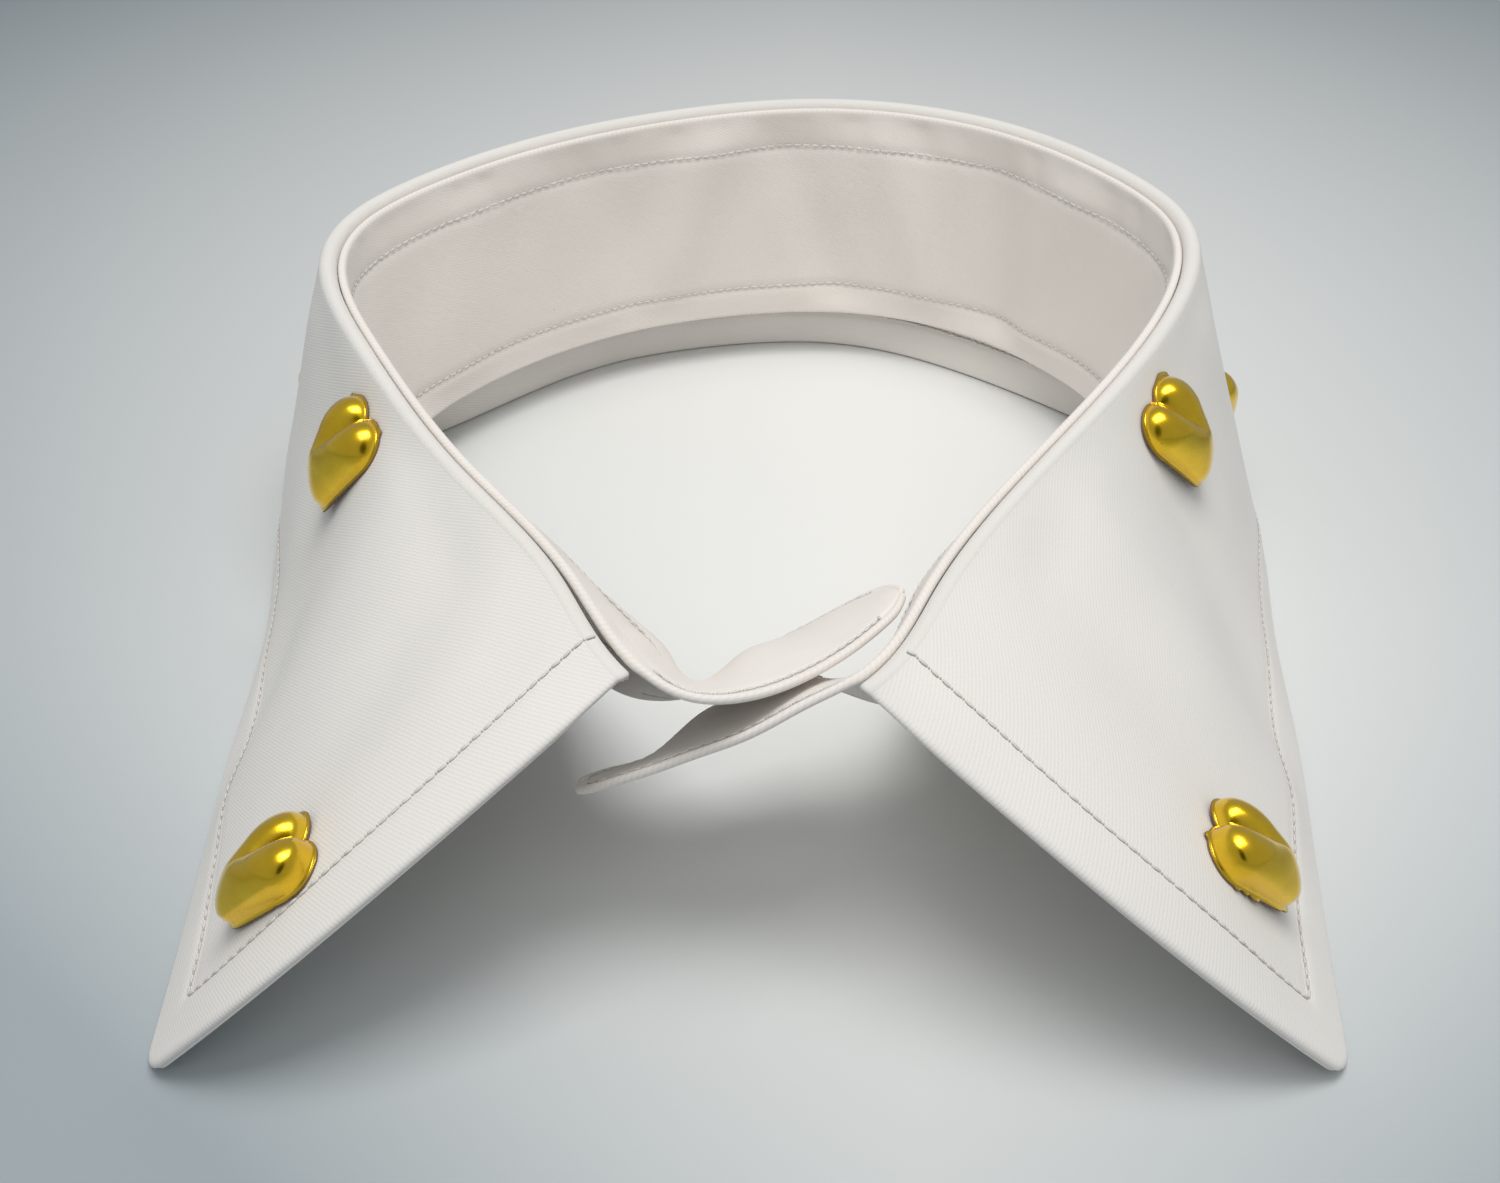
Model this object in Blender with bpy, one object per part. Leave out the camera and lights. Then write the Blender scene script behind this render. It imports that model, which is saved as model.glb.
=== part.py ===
"""Detachable shirt collar with heart studs, left open and standing on its own hem.

A stand band and a long-pointed leaf are swept through one table of stations that runs
round the neck, and six puffed heart studs lie on the leaf. The tables are in
millimetres and the meshes in metres. +Z is up and +Y is the back of the neck, so the
points of the leaf lie toward -Y and the wearer's right side is at -X.
"""

import math
from collections import namedtuple

import bmesh
import bpy
import numpy as np

MM = 0.001

BAND_WALL = 1.0
LEAF_WALL = 1.0
SEAM_GAP = 0.3
ROLL_RADIUS = 1.3
SEAM_LEG = 2.5
# Where the leaf falls less steeply than this it meets the table with its underside, and
# over the next FLAT_CUT_BLEND it turns to meeting it with its whole cut edge.
FLAT_CUT_SLOPE = 0.62
FLAT_CUT_BLEND = 0.2
# Above one, this puts the leaf's strongest curve nearer its hem than its roll.
CURVE_LATENESS = 1.1
TOWARD_POINTS = np.array([0.0, -1.0, 0.0])
# The steps over which a direction is read off a curve, along the seam and down the fall.
ALONG_PROBE = 0.5
SHARE_PROBE = 0.01
# A height below this lies on the table.
ON_TABLE = 1e-6
SHARP_ANGLE = math.radians(50)

STATION_STEP = 5.5
BAND_ROWS_DOWN = 7
ROLL_FACETS = 5
FALL_FACETS = 9

STUD_DOME = 4.2
STUD_FLANGE = 0.5
# The cleft takes this share off the dome's height, full at the notch and gone at
# CLEFT_END below the heart's middle, over a fade of CLEFT_FADE.
STUD_CLEFT = 0.5
STUD_CLEFT_WIDTH = 1.7
CLEFT_END = 4.0
CLEFT_FADE = 8.0
STUD_CENTRE = 0.6
STUD_SIDE_POINTS = 15
STUD_RINGS = (0.97, 0.88, 0.72, 0.5, 0.26)
# One side of the heart from its notch, out over the lobe and down to its blunt tip.
STUD_OUTLINE = (
    (0.0, 4.8), (1.5, 6.9), (3.8, 7.8), (6.0, 6.4), (6.7, 3.6),
    (6.1, 0.2), (4.5, -3.6), (2.8, -7.2), (1.4, -8.7), (0.0, -9.1),
)

# The tables' plan centre, which becomes the origin below the middle of the collar.
PLAN_CENTRE = (3.0, -0.6)

# Each row is one section of the collar. rim is the band's top edge, foot its bottom
# edge, bow how far the band's section curves inward between them, and hem the leaf's
# lower edge on the table. Between its roll and its hem the leaf's section curves
# outward by bulge and toward its points by sweep.
Section = namedtuple("Section", "rim foot bow hem bulge sweep")
AROUND = (
    Section((-11.4, -64.9, 37.0), (-13.7, -44.5, 17.2), 5.0, (-64.6, -88.0), 3.4, 6.4),
    Section((-20.0, -49.4, 38.6), (-20.5, -32.1, 13.5), 3.5, (-66.5, -65.0), 4.0, 4.5),
    Section((-34.4, -28.2, 40.6), (-30.9, -15.1, 10.6), 1.0, (-69.0, -37.0), 2.6, 1.0),
    Section((-50.1, -1.4, 43.2), (-44.7, 3.8, 8.2), 0.5, (-71.5, -5.0), 0.8, 0.0),
    Section((-59.2, 21.9, 45.4), (-55.5, 24.0, 7.5), 0.3, (-75.0, 22.0), 0.3, 0.0),
    Section((-58.0, 36.5, 45.8), (-55.0, 36.5, 8.5), 0.0, (-70.5, 36.5), 0.2, 0.0),
    Section((-49.3, 50.5, 46.3), (-47.5, 50.0, 9.0), 0.0, (-56.0, 51.5), 0.3, 0.0),
    Section((-32.0, 67.0, 46.7), (-31.0, 67.0, 9.0), 0.0, (-35.0, 72.8), 0.0, 0.0),
    Section((-8.8, 79.2, 47.0), (-9.0, 78.2, 9.0), 0.0, (-11.5, 85.0), 0.0, 0.0),
    Section((13.0, 84.0, 47.0), (13.0, 81.5, 9.0), 0.0, (13.5, 87.8), 0.0, 0.0),
    Section((38.5, 75.0, 47.0), (36.8, 73.5, 9.0), 0.0, (38.3, 76.3), 0.0, 0.0),
    Section((54.7, 56.8, 46.7), (53.0, 55.8, 9.0), 0.0, (57.8, 58.3), 0.3, 0.0),
    Section((63.2, 39.5, 45.8), (60.0, 39.0, 8.5), 0.0, (73.5, 40.0), 0.2, 0.0),
    Section((62.4, 22.8, 45.4), (58.5, 24.8, 7.5), 0.3, (80.5, 24.0), 0.3, 0.0),
    Section((49.7, -4.8, 43.0), (44.8, 1.6, 8.1), 0.5, (77.5, -6.0), 0.9, 0.0),
    Section((33.4, -28.6, 40.6), (30.1, -16.1, 10.2), 1.0, (73.3, -35.0), 2.6, 1.0),
    Section((19.2, -52.4, 38.6), (20.4, -34.2, 14.2), 1.5, (68.2, -63.0), 3.8, 3.5),
    Section((10.3, -66.6, 37.0), (14.0, -45.5, 18.2), 1.5, (63.9, -88.6), 3.0, 4.5),
)

# The band runs on past the leaf as two rounded tabs that lap in front.
# The one on the wearer's right lies on top, the other below and outside it.
Tab = namedtuple("Tab", "rim foot bow")
UPPER_TAB = (
    Tab((17.6, -46.2, 33.6), (17.7, -44.3, 33.1), 0.0),
    Tab((16.6, -50.5, 34.6), (16.5, -41.9, 31.8), 0.3),
    Tab((14.3, -55.0, 35.4), (14.2, -40.5, 29.9), 0.6),
    Tab((10.8, -59.9, 35.9), (10.7, -41.0, 28.0), 1.0),
    Tab((5.2, -65.4, 36.2), (5.7, -42.7, 25.8), 1.5),
    Tab((0.0, -68.6, 36.5), (0.5, -44.5, 23.4), 1.8),
    Tab((-5.6, -69.1, 36.8), (-5.7, -46.2, 19.9), 1.2),
)
LOWER_TAB = (
    Tab((5.7, -68.7, 35.6), (6.8, -44.0, 19.9), 1.5),
    Tab((0.0, -70.1, 32.8), (0.0, -45.0, 18.2), 1.2),
    Tab((-5.2, -69.3, 29.6), (-5.9, -49.0, 18.0), 0.8),
    Tab((-10.6, -68.2, 26.2), (-11.1, -56.2, 17.9), 0.5),
    Tab((-16.1, -66.8, 22.8), (-16.0, -59.1, 18.2), 0.2),
    Tab((-19.2, -64.9, 20.3), (-19.0, -61.1, 18.6), 0.0),
    Tab((-20.1, -63.6, 19.4), (-20.1, -61.8, 18.6), 0.0),
)

# along is the way round the seam from the wearer's right corner, down the share of the
# leaf's fall from its roll to its hem, and turn the heart's tip from straight down the
# fall, toward the wearer's left where it is positive. lean is how far the heart's face
# is tipped about its own length, its wearer's left side up where it is positive. size is
# the heart's share of the outline above.
Stud = namedtuple("Stud", "name along down turn lean size")
STUDS = (
    Stud("stud_right_point", 10.2, 0.642, -6.0, -8.0, 0.84),
    Stud("stud_right_roll", 62.8, 0.210, 2.0, 0.0, 0.95),
    Stud("stud_right_side", 112.0, 0.620, 0.0, 0.0, 0.88),
    Stud("stud_left_side", 281.6, 0.640, 0.0, 0.0, 0.88),
    Stud("stud_left_roll", 324.9, 0.210, -2.0, 0.0, 0.95),
    Stud("stud_left_point", 382.4, 0.696, 8.0, 8.0, 0.84),
)


def spline(knots, values):
    """Return a natural cubic curve through the values, as a function of one number."""
    knots = np.array(knots, float)
    values = np.array(values, float).reshape(len(knots), -1)
    gaps = np.diff(knots)
    matrix = np.eye(len(knots))
    bends = np.zeros_like(values)
    for i in range(1, len(knots) - 1):
        matrix[i, i - 1:i + 2] = gaps[i - 1], 2 * (gaps[i - 1] + gaps[i]), gaps[i]
        bends[i] = 6 * ((values[i + 1] - values[i]) / gaps[i]
                        - (values[i] - values[i - 1]) / gaps[i - 1])
    bends = np.linalg.solve(matrix, bends)

    def at(place):
        i = int(np.clip(np.searchsorted(knots, place) - 1, 0, len(gaps) - 1))
        a, b, gap = knots[i + 1] - place, place - knots[i], gaps[i]
        return (bends[i] * a ** 3 + bends[i + 1] * b ** 3) / (6 * gap) + (
            (values[i] / gap - bends[i] * gap / 6) * a
            + (values[i + 1] / gap - bends[i + 1] * gap / 6) * b)

    return at


def unit(vector):
    return vector / np.linalg.norm(vector)


def chord_lengths(points):
    """Return each point's distance along the line through them."""
    steps = np.linalg.norm(np.diff(np.array(points, float), axis=0), axis=1)
    return np.concatenate([[0.0], np.cumsum(steps)])


BAND_SECTIONS = UPPER_TAB + AROUND + LOWER_TAB
_along = chord_lengths([row.rim for row in BAND_SECTIONS])
BAND_ALONG = _along - _along[len(UPPER_TAB)]
LEAF_ALONG = BAND_ALONG[len(UPPER_TAB):len(UPPER_TAB) + len(AROUND)]
RIM = spline(BAND_ALONG, [row.rim for row in BAND_SECTIONS])
FOOT = spline(BAND_ALONG, [row.foot for row in BAND_SECTIONS])
BOW = spline(BAND_ALONG, [row.bow for row in BAND_SECTIONS])
HEM = spline(LEAF_ALONG, [row.hem for row in AROUND])
CURVE = spline(LEAF_ALONG, [(row.bulge, row.sweep) for row in AROUND])


def rim_ahead(along):
    """Return the rim's own direction, toward the wearer's left end."""
    return RIM(along + ALONG_PROBE) - RIM(along - ALONG_PROBE)


def outward(along):
    """Return the level direction from the neck hollow out through the rim."""
    ahead = rim_ahead(along)
    return unit(np.array([-ahead[1], ahead[0], 0.0]))


def band_frame(along):
    """Return the band's rim, its way down, and its outward face direction."""
    rim = RIM(along)
    down = unit(FOOT(along) - rim)
    out = outward(along)
    out = unit(out - out.dot(down) * down)
    return rim, down, out


def band_point(along, share):
    """Return a point of the band's inner face, share of the way from rim to foot."""
    rim, foot = RIM(along), FOOT(along)
    _, _, out = band_frame(along)
    return rim + (foot - rim) * share - out * BOW(along)[0] * 4 * share * (1 - share)


def leaf_seam(along):
    """Return where the leaf meets the band, its way down and out, and how far it rolls over."""
    rim, down, out = band_frame(along)
    seam = rim + out * (BAND_WALL + SEAM_GAP)
    shoulder = rim + outward(along) * (BAND_WALL + SEAM_GAP + 2 * ROLL_RADIUS)
    fall = unit(np.append(HEM(along), 0.0) - shoulder)
    turn = math.atan2(fall.dot(out), fall.dot(-down))
    return seam, down, out, turn % (2 * math.pi)


def roll_point(along, share):
    """Return a point of the leaf's outer face on its roll, from the seam over the top."""
    seam, down, out, turn = leaf_seam(along)
    angle = turn * share
    return seam + ROLL_RADIUS * (out * (1 - math.cos(angle)) - down * math.sin(angle))


def fall_point(along, share):
    """Return a point of the leaf's outer face between its roll and its hem."""
    start = roll_point(along, 1.0)
    chord = np.append(HEM(along), 0.0) - start
    slope = unit(chord)
    flatness = np.clip((FLAT_CUT_SLOPE + slope[2]) / FLAT_CUT_BLEND, 0, 1)
    chord[2] += LEAF_WALL * math.hypot(slope[0], slope[1]) * flatness
    side = unit(np.cross(rim_ahead(along), chord))
    bulge, sweep = CURVE(along)
    late = share ** CURVE_LATENESS
    return start + chord * share + (side * bulge + TOWARD_POINTS * sweep) * 4 * late * (1 - late)


def leaf_path(along):
    """Return the leaf's outer face in one section, from inside the seam to the hem."""
    seam, down, _, _ = leaf_seam(along)
    roll = [roll_point(along, i / ROLL_FACETS) for i in range(ROLL_FACETS + 1)]
    fall = [fall_point(along, i / FALL_FACETS) for i in range(1, FALL_FACETS + 1)]
    return [seam + down * SEAM_LEG] + roll + fall


def grid_normals(grid):
    """Return a unit normal at each point of a grid, from its neighbours."""
    along = np.gradient(grid, axis=0)
    down = np.gradient(grid, axis=1)
    normals = np.cross(along, down)
    return normals / np.linalg.norm(normals, axis=2, keepdims=True)


def stations(ends, step):
    """Return evenly spaced places between two ends, about a step apart."""
    count = max(2, round((ends[1] - ends[0]) / step) + 1)
    return np.linspace(ends[0], ends[1], count)


def to_metres(point):
    """Return a table point in metres, about the collar's own centre."""
    return ((point[0] - PLAN_CENTRE[0]) * MM, (point[1] - PLAN_CENTRE[1]) * MM, point[2] * MM)


def material(name, color, roughness, metallic=0.0):
    finish = bpy.data.materials.new(name)
    finish.use_nodes = True
    shader = finish.node_tree.nodes["Principled BSDF"]
    shader.inputs["Base Color"].default_value = (*color, 1.0)
    shader.inputs["Roughness"].default_value = roughness
    shader.inputs["Metallic"].default_value = metallic
    return finish


def finish_object(name, mesh_data, finish):
    """Turn the faces out, shade the form smooth and put it in the scene."""
    bmesh.ops.recalc_face_normals(mesh_data, faces=mesh_data.faces)
    mesh = bpy.data.meshes.new(name)
    mesh_data.to_mesh(mesh)
    mesh_data.free()
    mesh.shade_smooth()
    mesh.set_sharp_from_angle(angle=SHARP_ANGLE)
    mesh.materials.append(finish)
    piece = bpy.data.objects.new(name, mesh)
    bpy.context.scene.collection.objects.link(piece)
    return piece


def closed_wall(name, face, back, finish):
    """Join two grids of points at their borders into one closed wall."""
    rows, columns = face.shape[:2]
    data = bmesh.new()
    front = [[data.verts.new(to_metres(p)) for p in row] for row in face]
    rear = [[data.verts.new(to_metres(p)) for p in row] for row in back]
    for i in range(rows - 1):
        for j in range(columns - 1):
            data.faces.new((front[i][j], front[i][j + 1], front[i + 1][j + 1], front[i + 1][j]))
            data.faces.new((rear[i][j], rear[i + 1][j], rear[i + 1][j + 1], rear[i][j + 1]))
    for i in range(rows - 1):
        for j in (0, columns - 1):
            data.faces.new((front[i][j], front[i + 1][j], rear[i + 1][j], rear[i][j]))
    for j in range(columns - 1):
        for i in (0, rows - 1):
            data.faces.new((front[i][j], front[i][j + 1], rear[i][j + 1], rear[i][j]))
    return finish_object(name, data, finish)


def make_band(finish):
    leaf = stations((LEAF_ALONG[0], LEAF_ALONG[-1]), STATION_STEP)
    upper = stations((BAND_ALONG[0], LEAF_ALONG[0]), STATION_STEP)
    lower = stations((LEAF_ALONG[-1], BAND_ALONG[-1]), STATION_STEP)
    places = np.concatenate([upper[:-1], leaf, lower[1:]])
    shares = np.linspace(0, 1, BAND_ROWS_DOWN)
    inner = np.array([[band_point(a, share) for share in shares] for a in places])
    out = np.array([band_frame(a)[2] for a in places])[:, None, :]
    normals = grid_normals(inner)
    normals *= np.sign((normals * out).sum(axis=2, keepdims=True))
    return closed_wall("band", inner, inner + normals * BAND_WALL, finish)


def make_leaf(finish):
    places = stations((LEAF_ALONG[0], LEAF_ALONG[-1]), STATION_STEP)
    outer = np.array([leaf_path(a) for a in places])
    normals = grid_normals(outer)
    under = outer - normals * LEAF_WALL
    for face, back, normal in zip(outer, under, normals):
        if face[-1][2] < ON_TABLE:
            level = unit(np.array([normal[-1][0], normal[-1][1], 0.0]))
            back[-1] = face[-1] - level * LEAF_WALL / level.dot(normal[-1])
        back[-1][2] = 0.0
    return closed_wall("leaf", outer, under, finish)


def leaf_patch(along, share):
    """Return the leaf's outward direction at a place, and its two ways along the cloth."""
    ahead = fall_point(along + ALONG_PROBE, share) - fall_point(along - ALONG_PROBE, share)
    ahead /= 2 * ALONG_PROBE
    fall = fall_point(along, share + SHARE_PROBE) - fall_point(along, share - SHARE_PROBE)
    fall /= 2 * SHARE_PROBE
    normal = unit(np.cross(ahead, fall))
    return normal, ahead, fall


def on_leaf(stud, across, below, height):
    """Return a point over the leaf, measured on the cloth from the stud's centre."""
    _, ahead, fall = leaf_patch(stud.along, stud.down)
    turn = math.radians(stud.turn)
    level = unit(ahead - ahead.dot(unit(fall)) * unit(fall))
    offset = (level * (across * math.cos(turn) + below * math.sin(turn))
              + unit(fall) * (below * math.cos(turn) - across * math.sin(turn)))
    metric = np.array([[ahead.dot(ahead), ahead.dot(fall)], [ahead.dot(fall), fall.dot(fall)]])
    move = np.linalg.solve(metric, [offset.dot(ahead), offset.dot(fall)])
    along, share = stud.along + move[0], stud.down + move[1]
    return fall_point(along, share) + leaf_patch(along, share)[0] * height


def heart_outline(size):
    """Return the heart's closed outline as across and below, from its notch round."""
    curve = spline(chord_lengths(STUD_OUTLINE), STUD_OUTLINE)
    places = np.linspace(0, chord_lengths(STUD_OUTLINE)[-1], STUD_SIDE_POINTS)
    side = [curve(a) * size for a in places]
    return [(x, -y) for x, y in side] + [(-x, -y) for x, y in side[-2:0:-1]]


def dome_height(across, below, scale):
    """Return how high the puffed heart stands, lower along the cleft between its lobes."""
    notch_side = np.clip((CLEFT_END - below) / CLEFT_FADE, 0, 1)
    cleft = STUD_CLEFT * math.exp(-(across / STUD_CLEFT_WIDTH) ** 2) * notch_side
    return STUD_FLANGE + STUD_DOME * math.sqrt(1 - scale ** 2) * (1 - cleft)


def make_stud(stud, finish):
    outline = heart_outline(stud.size)
    half_width = max(x for x, _ in outline)
    tip = math.tan(math.radians(stud.lean))
    data = bmesh.new()

    def lifted(across, below, scale):
        return dome_height(across, below, scale) + across * tip + half_width * abs(tip)

    def ring(scale, height_at):
        points = [(x * scale, (y + STUD_CENTRE) * scale - STUD_CENTRE) for x, y in outline]
        return [data.verts.new(to_metres(on_leaf(stud, x, y, SEAM_GAP + height_at(x, y, scale))))
                for x, y in points]

    rings = [ring(1.0, lambda across, below, scale: 0.0)]
    rings += [ring(scale, lifted) for scale in (1.0,) + STUD_RINGS]
    count = len(outline)
    for low, high in zip(rings, rings[1:]):
        for i in range(count):
            data.faces.new((low[i], low[(i + 1) % count], high[(i + 1) % count], high[i]))
    top_height = SEAM_GAP + lifted(0.0, -STUD_CENTRE, 0.0)
    top = data.verts.new(to_metres(on_leaf(stud, 0.0, -STUD_CENTRE, top_height)))
    base = data.verts.new(to_metres(on_leaf(stud, 0.0, -STUD_CENTRE, SEAM_GAP)))
    for i in range(count):
        data.faces.new((rings[-1][i], rings[-1][(i + 1) % count], top))
        data.faces.new((rings[0][(i + 1) % count], rings[0][i], base))
    return finish_object(stud.name, data, finish)


def main():
    for item in list(bpy.data.objects):
        bpy.data.objects.remove(item, do_unlink=True)
    cotton = material("white_cotton", (0.86, 0.84, 0.83), 0.85)
    make_band(cotton)
    make_leaf(material("white_cotton_leaf", (0.88, 0.86, 0.85), 0.85))
    for stud in STUDS:
        make_stud(stud, material(stud.name + "_brass", (0.83, 0.6, 0.12), 0.2, metallic=1.0))


main()
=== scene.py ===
"""The look of a detachable white cotton collar that stands open on its own hem.

The band and the leaf are thin shells on the forms of their solids, with turned edges,
rows of stitching and soft creases. Six pressed heart studs lie on the leaf. The tables
are in millimetres, +Z is up and +Y is the back of the neck.
"""

import math
from collections import namedtuple

import bpy
import numpy as np
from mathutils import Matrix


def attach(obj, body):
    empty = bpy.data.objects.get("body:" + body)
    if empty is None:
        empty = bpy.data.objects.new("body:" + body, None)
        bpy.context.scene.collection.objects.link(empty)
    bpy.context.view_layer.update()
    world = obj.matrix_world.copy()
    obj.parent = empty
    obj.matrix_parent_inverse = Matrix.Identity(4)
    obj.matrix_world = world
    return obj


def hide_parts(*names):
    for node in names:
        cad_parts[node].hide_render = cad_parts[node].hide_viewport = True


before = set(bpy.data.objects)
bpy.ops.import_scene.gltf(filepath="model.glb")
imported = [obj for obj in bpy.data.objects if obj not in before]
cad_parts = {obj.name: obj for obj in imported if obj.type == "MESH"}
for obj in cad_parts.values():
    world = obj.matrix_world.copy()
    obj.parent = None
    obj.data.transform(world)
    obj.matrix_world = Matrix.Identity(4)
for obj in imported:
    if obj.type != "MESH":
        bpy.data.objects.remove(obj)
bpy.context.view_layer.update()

MM = 0.001

BAND_WALL = 1.0
LEAF_WALL = 1.0
SEAM_GAP = 0.3
ROLL_RADIUS = 1.3
SEAM_LEG = 2.5
FLAT_CUT_SLOPE = 0.62
FLAT_CUT_BLEND = 0.2
CURVE_LATENESS = 1.1
TOWARD_POINTS = np.array([0.0, -1.0, 0.0])
PLAN_CENTRE = (3.0, -0.6)
ALONG_PROBE = 0.5
RUN_PROBE = 0.01
FLOOR_CLEARANCE = 0.02
POINTS_AT_ONCE = 4000

Section = namedtuple("Section", "rim foot bow hem bulge sweep")
AROUND = (
    Section((-11.4, -64.9, 37.0), (-13.7, -44.5, 17.2), 5.0, (-64.6, -88.0), 3.4, 6.4),
    Section((-20.0, -49.4, 38.6), (-20.5, -32.1, 13.5), 3.5, (-66.5, -65.0), 4.0, 4.5),
    Section((-34.4, -28.2, 40.6), (-30.9, -15.1, 10.6), 1.0, (-69.0, -37.0), 2.6, 1.0),
    Section((-50.1, -1.4, 43.2), (-44.7, 3.8, 8.2), 0.5, (-71.5, -5.0), 0.8, 0.0),
    Section((-59.2, 21.9, 45.4), (-55.5, 24.0, 7.5), 0.3, (-75.0, 22.0), 0.3, 0.0),
    Section((-58.0, 36.5, 45.8), (-55.0, 36.5, 8.5), 0.0, (-70.5, 36.5), 0.2, 0.0),
    Section((-49.3, 50.5, 46.3), (-47.5, 50.0, 9.0), 0.0, (-56.0, 51.5), 0.3, 0.0),
    Section((-32.0, 67.0, 46.7), (-31.0, 67.0, 9.0), 0.0, (-35.0, 72.8), 0.0, 0.0),
    Section((-8.8, 79.2, 47.0), (-9.0, 78.2, 9.0), 0.0, (-11.5, 85.0), 0.0, 0.0),
    Section((13.0, 84.0, 47.0), (13.0, 81.5, 9.0), 0.0, (13.5, 87.8), 0.0, 0.0),
    Section((38.5, 75.0, 47.0), (36.8, 73.5, 9.0), 0.0, (38.3, 76.3), 0.0, 0.0),
    Section((54.7, 56.8, 46.7), (53.0, 55.8, 9.0), 0.0, (57.8, 58.3), 0.3, 0.0),
    Section((63.2, 39.5, 45.8), (60.0, 39.0, 8.5), 0.0, (73.5, 40.0), 0.2, 0.0),
    Section((62.4, 22.8, 45.4), (58.5, 24.8, 7.5), 0.3, (80.5, 24.0), 0.3, 0.0),
    Section((49.7, -4.8, 43.0), (44.8, 1.6, 8.1), 0.5, (77.5, -6.0), 0.9, 0.0),
    Section((33.4, -28.6, 40.6), (30.1, -16.1, 10.2), 1.0, (73.3, -35.0), 2.6, 1.0),
    Section((19.2, -52.4, 38.6), (20.4, -34.2, 14.2), 1.5, (68.2, -63.0), 3.8, 3.5),
    Section((10.3, -66.6, 37.0), (14.0, -45.5, 18.2), 1.5, (63.9, -88.6), 3.0, 4.5),
)

Tab = namedtuple("Tab", "rim foot bow")
UPPER_TAB = (
    Tab((17.6, -46.2, 33.6), (17.7, -44.3, 33.1), 0.0),
    Tab((16.6, -50.5, 34.6), (16.5, -41.9, 31.8), 0.3),
    Tab((14.3, -55.0, 35.4), (14.2, -40.5, 29.9), 0.6),
    Tab((10.8, -59.9, 35.9), (10.7, -41.0, 28.0), 1.0),
    Tab((5.2, -65.4, 36.2), (5.7, -42.7, 25.8), 1.5),
    Tab((0.0, -68.6, 36.5), (0.5, -44.5, 23.4), 1.8),
    Tab((-5.6, -69.1, 36.8), (-5.7, -46.2, 19.9), 1.2),
)
LOWER_TAB = (
    Tab((5.7, -68.7, 35.6), (6.8, -44.0, 19.9), 1.5),
    Tab((0.0, -70.1, 32.8), (0.0, -45.0, 18.2), 1.2),
    Tab((-5.2, -69.3, 29.6), (-5.9, -49.0, 18.0), 0.8),
    Tab((-10.6, -68.2, 26.2), (-11.1, -56.2, 17.9), 0.5),
    Tab((-16.1, -66.8, 22.8), (-16.0, -59.1, 18.2), 0.2),
    Tab((-19.2, -64.9, 20.3), (-19.0, -61.1, 18.6), 0.0),
    Tab((-20.1, -63.6, 19.4), (-20.1, -61.8, 18.6), 0.0),
)

Stud = namedtuple("Stud", "name along down turn lean size")
STUDS = (
    Stud("stud_right_point", 10.2, 0.642, -6.0, -8.0, 0.84),
    Stud("stud_right_roll", 62.8, 0.210, 2.0, 0.0, 0.95),
    Stud("stud_right_side", 112.0, 0.620, 0.0, 0.0, 0.88),
    Stud("stud_left_side", 281.6, 0.640, 0.0, 0.0, 0.88),
    Stud("stud_left_roll", 324.9, 0.210, -2.0, 0.0, 0.95),
    Stud("stud_left_point", 382.4, 0.696, 8.0, 8.0, 0.84),
)


def spline(knots, values):
    """Return a natural cubic curve through the values, for an array of places."""
    knots = np.array(knots, float)
    values = np.array(values, float).reshape(len(knots), -1)
    gaps = np.diff(knots)
    matrix = np.eye(len(knots))
    bends = np.zeros_like(values)
    for i in range(1, len(knots) - 1):
        matrix[i, i - 1:i + 2] = gaps[i - 1], 2 * (gaps[i - 1] + gaps[i]), gaps[i]
        bends[i] = 6 * ((values[i + 1] - values[i]) / gaps[i]
                        - (values[i] - values[i - 1]) / gaps[i - 1])
    bends = np.linalg.solve(matrix, bends)

    def at(places):
        places = np.asarray(places, float)
        i = np.clip(np.searchsorted(knots, places) - 1, 0, len(gaps) - 1)
        a = (knots[i + 1] - places)[..., None]
        b = (places - knots[i])[..., None]
        gap = gaps[i][..., None]
        return (bends[i] * a ** 3 + bends[i + 1] * b ** 3) / (6 * gap) + (
            (values[i] / gap - bends[i] * gap / 6) * a
            + (values[i + 1] / gap - bends[i + 1] * gap / 6) * b)

    return at


def unit(vectors):
    return vectors / np.linalg.norm(vectors, axis=-1, keepdims=True)


def dot(a, b):
    return (a * b).sum(axis=-1, keepdims=True)


def chord_lengths(points):
    steps = np.linalg.norm(np.diff(np.array(points, float), axis=0), axis=1)
    return np.concatenate([[0.0], np.cumsum(steps)])


BAND_SECTIONS = UPPER_TAB + AROUND + LOWER_TAB
_along = chord_lengths([row.rim for row in BAND_SECTIONS])
BAND_ALONG = _along - _along[len(UPPER_TAB)]
LEAF_ALONG = BAND_ALONG[len(UPPER_TAB):len(UPPER_TAB) + len(AROUND)]
LEAF_END = LEAF_ALONG[-1]
RIM = spline(BAND_ALONG, [row.rim for row in BAND_SECTIONS])
FOOT = spline(BAND_ALONG, [row.foot for row in BAND_SECTIONS])
BOW = spline(BAND_ALONG, [row.bow for row in BAND_SECTIONS])
HEM = spline(LEAF_ALONG, [row.hem for row in AROUND])
CURVE = spline(LEAF_ALONG, [(row.bulge, row.sweep) for row in AROUND])


def rim_ahead(along):
    return RIM(along + ALONG_PROBE) - RIM(along - ALONG_PROBE)


def outward(along):
    """Return the level direction from the neck hollow out through the rim."""
    ahead = rim_ahead(along)
    return unit(np.stack([-ahead[..., 1], ahead[..., 0], 0 * ahead[..., 0]], axis=-1))


def band_point(along, share):
    """Return points of the band's inner face, share of the way from rim to foot."""
    rim, foot = RIM(along), FOOT(along)
    down = unit(foot - rim)
    out = outward(along)
    out = unit(out - dot(out, down) * down)
    share = share[..., None]
    return rim + (foot - rim) * share - out * BOW(along) * 4 * share * (1 - share)


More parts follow.
